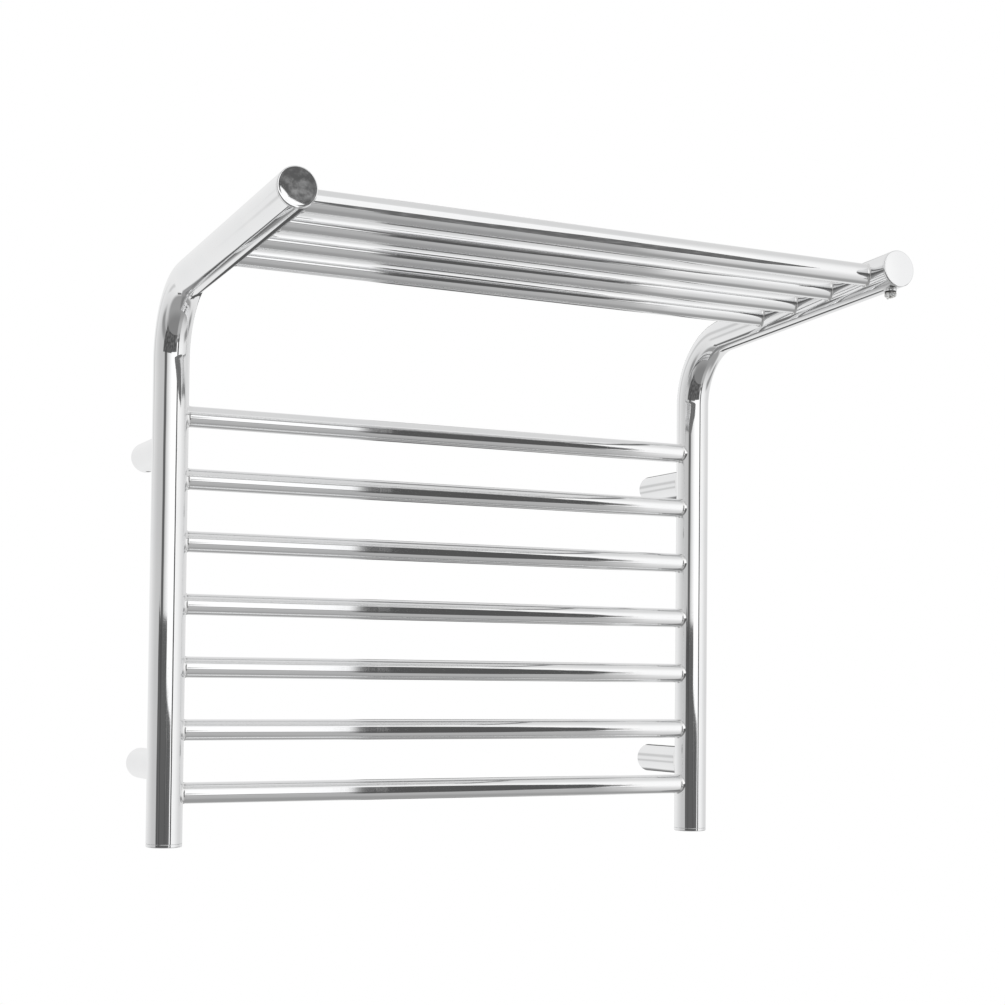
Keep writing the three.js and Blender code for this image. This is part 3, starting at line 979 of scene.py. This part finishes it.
FLOOR_DROP = 1.0
FLOOR_RADIUS = 3.0


def studio_floor():
    """Plain pale floor under the rack. The steel mirrors the surroundings instead of it."""
    work = bmesh.new()
    bmesh.ops.create_circle(work, cap_ends=True, segments=96, radius=FLOOR_RADIUS)
    floor = finished("floor", work)
    floor.location = (0, 0, BOTTOM_Z - FLOOR_DROP)
    floor.visible_glossy = False
    material = bpy.data.materials.new("floor")
    material.use_nodes = True
    tree = material.node_tree
    shader = tree.nodes["Principled BSDF"]
    place = add_node(tree, "TexCoord").outputs["Object"]
    pale = colour_between(tree, noise(tree, place, 3.0, 3.0), (0.84, 0.84, 0.84), (0.88, 0.88, 0.88))
    connect(tree, shader.inputs["Base Color"], pale)
    shader.inputs["Roughness"].default_value = 0.9
    shader.inputs["Specular IOR Level"].default_value = 0.0
    floor.data.materials.append(material)


def soft_light(name, location, target, size, power):
    """A big soft light that the steel doesn't mirror."""
    data = bpy.data.lights.new(name, "AREA")
    data.shape = "DISK"
    data.size = size
    data.energy = power
    light = bpy.data.objects.new(name, data)
    bpy.context.scene.collection.objects.link(light)
    light.location = location
    light.rotation_euler = (Vector(target) - Vector(location)).to_track_quat("-Z", "Y").to_euler()
    light.visible_camera = False
    light.visible_glossy = False


# Brightness round the studio at eye level. Azimuth 0 is straight out of the wall into the room
# and 90 is to the right.
AROUND = [
    (-180, 0.88), (-150, 0.84), (-120, 0.70), (-97, 0.60), (-66, 0.56), (-40, 0.62), (-30, 0.80),
    (-18, 1.00), (-5, 1.12), (14, 1.12), (30, 1.04), (40, 0.95), (52, 0.94), (66, 0.84), (84, 0.74),
    (105, 0.72), (135, 0.80), (180, 0.88),
]


def eye_level(tree, azimuth):
    """The brightness at eye level in each direction, from AROUND."""
    ramp = add_node(tree, "ValToRGB", Fac=azimuth * (1 / 360) + 0.5)
    stops = ramp.color_ramp.elements
    stops.remove(stops[1])
    for index, (angle, level) in enumerate(AROUND):
        stop = stops[0] if index == 0 else stops.new(angle / 360 + 0.5)
        stop.color = (level / 2, level / 2, level / 2, 1)
    return Value(tree, ramp.outputs["Color"]) * 2


def ground_level(sideways, elevation, behind):
    """The ground's brightness: dark on the left, grey ahead and light on the right."""
    ahead = elevation.fall(-75, -50) * -0.12 + 0.46
    left = sideways.fall(8, 13)
    right = sideways.rise(29.0, 30.6)
    front = ahead.towards(0.24, left).towards(0.66, right)
    return front.towards(0.34, behind)


def dark_gaps(tree, azimuth, sideways, elevation):
    """Dark parts of the surroundings: (where, brightness).

    A horizontal tube keeps a ray's angle sideways, so what has an upright end on the rungs and bars is
    set by that angle. The others are set by azimuth, which the uprights mirror more simply.
    """
    ray = add_node(tree, "TexCoord").outputs["Generated"]
    mottled = noise(tree, ray, 9.0, 4.0, 0.6).rise(0.35, 0.75)
    strip = azimuth.between(-59, -43, 7) * elevation.between(-30, 60, 10)
    low_left = azimuth.between(-46, -16, 1.0) * elevation.between(-6, 1.95, 0.2)
    slanting_top = azimuth * 0.045 + elevation
    low = azimuth.between(-70, 16, 2) * elevation.rise(-37, -35) * slanting_top.fall(-0.82, -0.62)
    line = sideways.between(4, 30, 2) * elevation.between(-29, -21, 5)
    # A rounded shape that ends in a blunt edge on the left and tapers to the right.
    share = (sideways - 21.6) * (1 / 8.2)
    half_height = (1 - share * share).math("MAXIMUM", 0).math("SQRT") * 34
    from_middle = (elevation + 4).math("ABSOLUTE")
    wedge = (half_height - from_middle).rise(-2, 3) * sideways.rise(20.9, 21.7)
    wedge = wedge * sideways.fall(29.6, 29.8)
    left_back_line = azimuth.between(170.5, 177, 1.5) * elevation.between(-27.5, -18, 2)
    right_back_line = azimuth.between(-170, -156, 2) * elevation.between(-39, -33, 3.0)
    stripe_rows = elevation.between(7, 18, 9) + elevation.between(-15, -7, 7)
    soft_stripes = azimuth.between(-156, -142, 4) * stripe_rows
    side_lines = azimuth.math("ABSOLUTE").between(68, 118, 18) * elevation.between(-26, -12, 9)
    return (
        (side_lines, 0.30),
        (strip, 0.12),
        (low, 0.075 + mottled * 0.12),
        (low_left, 0.12),
        (line, 0.27),
        (wedge, 0.095),
        (left_back_line, 0.16),
        (right_back_line, 0.16),
        (soft_stripes, 0.62),
    )


def studio_surroundings():
    """What the steel mirrors: a light tent with a bright front, a few dark gaps and a grey ground.

    The picture's own background is plain white.
    """
    world = bpy.data.worlds.new("studio")
    bpy.context.scene.world = world
    world.use_nodes = True
    tree = world.node_tree
    direction = add_node(tree, "SeparateXYZ", Vector=add_node(tree, "TexCoord").outputs["Generated"])
    right, back, up = (Value(tree, socket) for socket in direction.outputs)
    degrees = 180 / math.pi
    azimuth = right.math("ARCTAN2", back * -1) * degrees
    elevation = up.math("ARCSINE") * degrees
    sideways = right.math("ARCSINE") * degrees

    ceiling = 0.72
    light = eye_level(tree, azimuth).towards(ceiling, elevation.rise(22, 60))
    behind = back.rise(-0.35, 0.15)
    front = 1 - behind
    to_the_right = sideways.rise(29.0, 30.6)
    near_edge = elevation.fall(-33, -27).towards(elevation.fall(-58, -6), to_the_right)
    ground_share = near_edge * front + elevation.fall(-46, -34) * behind
    light = light.towards(ground_level(sideways, elevation, behind), ground_share)
    for gap, level in dark_gaps(tree, azimuth, sideways, elevation):
        light = light.towards(level, gap)

    surroundings = add_node(tree, "Background", Color=light, Strength=1.0)
    backdrop = add_node(tree, "Background", Color=(1, 1, 1, 1), Strength=1.0)
    seen = add_node(tree, "LightPath").outputs["Is Camera Ray"]
    mix = add_node(tree, "MixShader")
    for socket, value in zip(mix.inputs, (seen, surroundings.outputs[0], backdrop.outputs[0])):
        connect(tree, socket, value)
    output = tree.nodes["World Output"]
    tree.links.new(mix.outputs[0], output.inputs["Surface"])


def studio_card(name, centre, outline, level, patches=0.0):
    """A small card near the steel that only mirrors show. Its outline is (x, z) about its centre."""
    work = bmesh.new()
    work.faces.new([work.verts.new(centre + Vector((x, 0, z))) for x, z in outline])
    mesh = bpy.data.meshes.new(name)
    work.to_mesh(mesh)
    work.free()
    card = bpy.data.objects.new(name, mesh)
    bpy.context.scene.collection.objects.link(card)
    for ray in ("camera", "diffuse", "shadow", "transmission", "volume_scatter"):
        setattr(card, "visible_" + ray, False)
    material = bpy.data.materials.new(name)
    material.use_nodes = True
    tree = material.node_tree
    tree.nodes.remove(tree.nodes["Principled BSDF"])
    place = add_node(tree, "TexCoord").outputs["Object"]
    patch = noise(tree, place, 70.0, 4.0, 0.6).rise(0.42, 0.75)
    glow = add_node(tree, "Emission", Color=patch * patches + level, Strength=1.0)
    tree.links.new(glow.outputs[0], tree.nodes["Material Output"].inputs["Surface"])
    mesh.materials.append(material)


def studio_cards():
    """A dark card that the left cap mirrors, and a dark and a white one along the shelf's front bar."""
    before_cap = node_centre("left_arm_cap") + Vector((0, -0.13, 0))
    cap_card = [
        (0.008, 0.075), (0.018, 0.048), (0.033, 0.031), (0.055, 0.024), (0.078, 0.028),
        (0.100, 0.042), (0.118, 0.062), (0.120, 0.130), (0.000, 0.130),
    ]
    studio_card("cap_card", before_cap, cap_card, 0.11, patches=0.22)
    before_bar = node_centre("shelf_bar_1") + Vector((0, -0.05, 0))
    dark_strip = [
        (-0.243, -0.016), (-0.14, -0.036), (0.00, -0.042), (0.18, -0.034), (0.235, -0.008),
        (0.10, 0.004), (0.00, 0.004), (-0.10, -0.004), (-0.243, -0.004),
    ]
    studio_card("dark_strip", before_bar, dark_strip, 0.14, patches=0.1)
    white_strip = [
        (-0.243, -0.003), (-0.10, -0.003), (0.00, 0.005), (0.10, 0.005), (0.06, 0.050), (-0.243, 0.050),
    ]
    studio_card("white_strip", before_bar, white_strip, 1.0)


# The camera comes from a fit of the rack's outlines to the photograph's, with the lens in millimetres.
CAMERA_PLACE = Vector((-0.70873, -1.66124, -0.06423))
CAMERA_YAW = math.radians(25.947)
CAMERA_PITCH = math.radians(1.895)
CAMERA_ROLL = math.radians(0.559)
CAMERA_SENSOR = 36
CAMERA_LENS = 64.59
CAMERA_SHIFT_Y = 0.1194


def make_camera():
    """The photograph's camera: low on the left, lifted by a small lens shift."""
    ahead = Vector((math.sin(CAMERA_YAW), math.cos(CAMERA_YAW), 0))
    forward = ahead * math.cos(CAMERA_PITCH) + AXIS_Z * math.sin(CAMERA_PITCH)
    level = ahead.cross(AXIS_Z)
    above = level.cross(forward)
    x_axis = level * math.cos(CAMERA_ROLL) + above * math.sin(CAMERA_ROLL)
    y_axis = above * math.cos(CAMERA_ROLL) - level * math.sin(CAMERA_ROLL)
    data = bpy.data.cameras.new("camera")
    data.sensor_width = CAMERA_SENSOR
    data.lens = CAMERA_LENS
    data.shift_y = CAMERA_SHIFT_Y
    camera = bpy.data.objects.new("camera", data)
    bpy.context.scene.collection.objects.link(camera)
    axes = Matrix((x_axis, y_axis, -forward)).transposed().to_4x4()
    camera.matrix_world = Matrix.Translation(CAMERA_PLACE) @ axes
    bpy.context.scene.camera = camera


make_camera()
studio_surroundings()
studio_floor()
studio_cards()
soft_light("overhead", location=(0.2, -0.9, 1.7), target=(0, -0.2, -0.4), size=2.4, power=90)
bpy.context.scene.view_settings.view_transform = "Standard"
